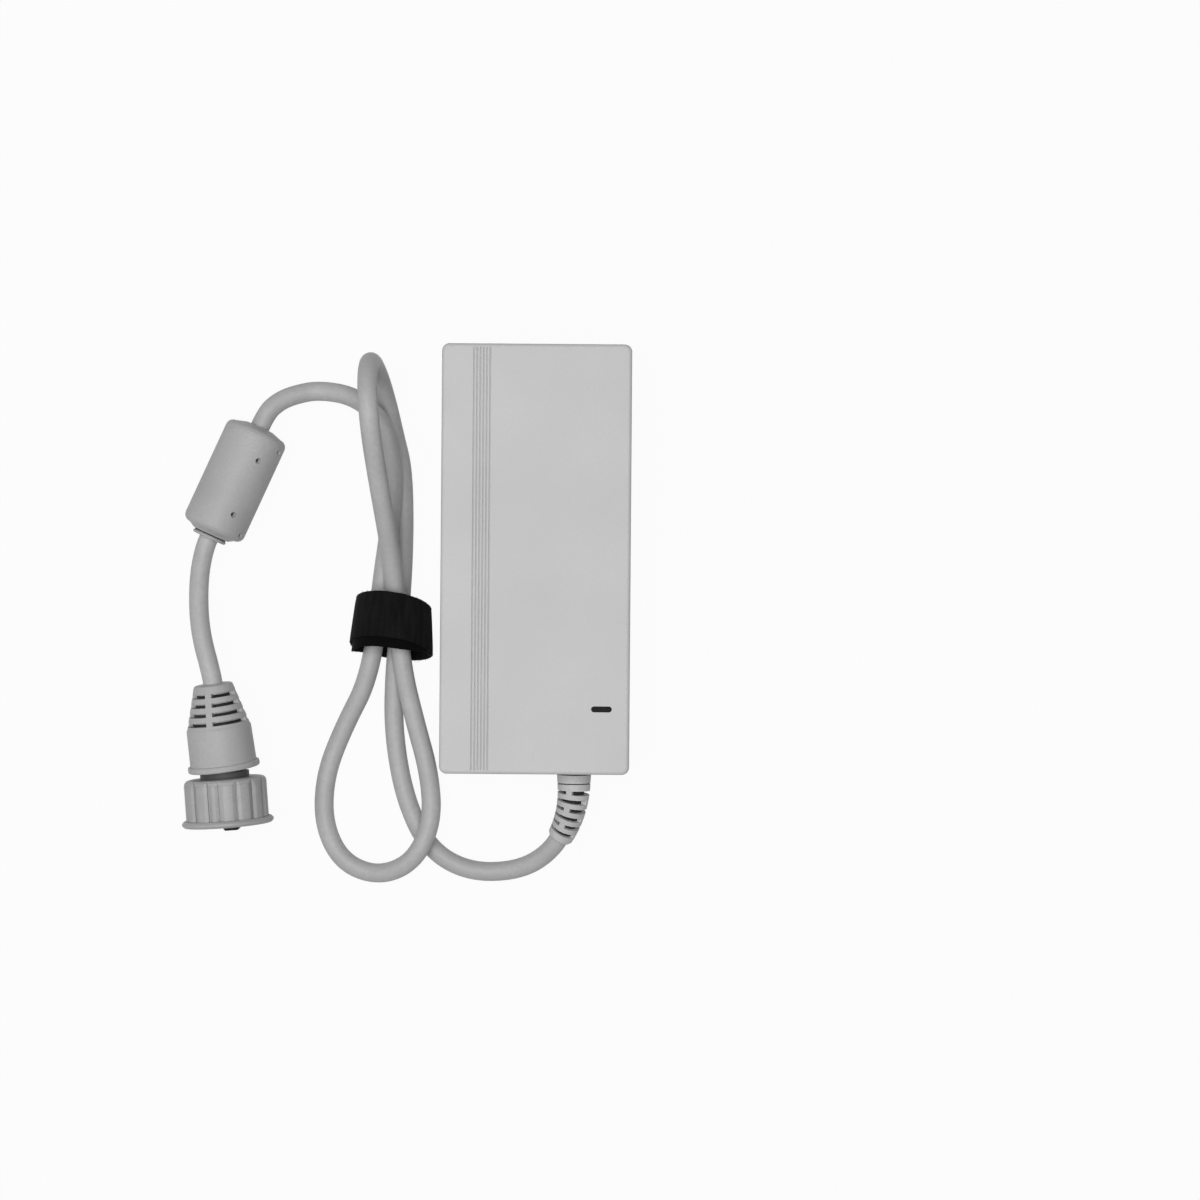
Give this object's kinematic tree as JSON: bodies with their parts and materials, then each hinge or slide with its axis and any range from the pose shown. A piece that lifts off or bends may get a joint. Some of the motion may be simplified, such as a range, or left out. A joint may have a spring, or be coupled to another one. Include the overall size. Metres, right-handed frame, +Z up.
{
  "type": "desktop power supply",
  "caption": "Closed plastic converter brick with a mains inlet and a captive looped output lead that carries a ferrite bead, a strap and a screw-on round plug.",
  "frame": {"origin": "middle of the brick's flat underside", "axes": "+Y along the brick from the output lead to the mains inlet, +Z up out of the lid, +X away from the laid-out lead"},
  "size_m": [0.1503, 0.181, 0.0452],
  "materials": {
    "case_plastic": "fine even texture",
    "screw_steel": "zinc plated",
    "board_laminate": "satin",
    "inlet_plastic": "satin",
    "contact_metal": "nickel plated",
    "fuse_ceramic": "glazed",
    "ferrite": "sintered, dull",
    "copper_wire": "enamelled",
    "capacitor_case": "satin",
    "capacitor_sleeve": "glossy",
    "disc_coating": "satin",
    "sink_aluminium": "plain",
    "package_plastic": "matte",
    "bobbin_plastic": "satin",
    "winding_tape": "glossy",
    "lamp_lens": "clear",
    "window_plastic": "smoked",
    "wire_insulation": "satin",
    "lead_jacket": "satin",
    "plug_rubber": "satin",
    "plug_plastic": "satin",
    "neck_plastic": "satin",
    "insert_plastic": "satin",
    "seal_rubber": "matte",
    "strap_fabric": "brushed loops"
  },
  "bodies": {
    "supply": {"lower_case": "case_plastic", "upper_case": "case_plastic", "case_screws": "screw_steel", "circuit_board": "board_laminate", "mains_inlet": "inlet_plastic", "inlet_pins": "contact_metal", "light_pipe": "window_plastic", "indicator_led": "lamp_lens", "fuse": "fuse_ceramic", "fuse_clips": "contact_metal", "filter_choke_core": "ferrite", "filter_choke_windings": "copper_wire", "filter_capacitor": "capacitor_case", "bridge_rectifier": "package_plastic", "bulk_capacitor": "capacitor_sleeve", "primary_heat_sink": "sink_aluminium", "power_transistor": "package_plastic", "transformer_core": "ferrite", "transformer_bobbin": "bobbin_plastic", "transformer_winding": "winding_tape", "controller_chip": "package_plastic", "feedback_coupler": "package_plastic", "disc_capacitors": "disc_coating", "output_heat_sink": "sink_aluminium", "output_rectifier": "package_plastic", "output_capacitors": "capacitor_sleeve", "output_choke_core": "ferrite", "output_choke_winding": "copper_wire", "output_wires": "wire_insulation", "strain_relief": "plug_rubber", "output_lead": "lead_jacket", "output_lead_in_bead": "lead_jacket", "output_lead_tail": "lead_jacket", "ferrite_core": "ferrite", "ferrite_cover": "plug_rubber", "lead_strap": "strap_fabric", "plug_boot": "plug_rubber", "plug_body": "neck_plastic", "seal_ring": "seal_rubber", "plug_insert": "insert_plastic", "plug_contacts": "contact_metal"},
    "coupling_nut": {"coupling_nut": "plug_plastic"}
  },
  "joints": [
    {"name": "coupling_nut_spin", "type": "hinge", "parent": "supply", "child": "coupling_nut", "pos_m": [-0.10436, -0.07657, 0.01538], "axis": [0.0785, -0.9969, 0], "continuous": true}
  ]
}
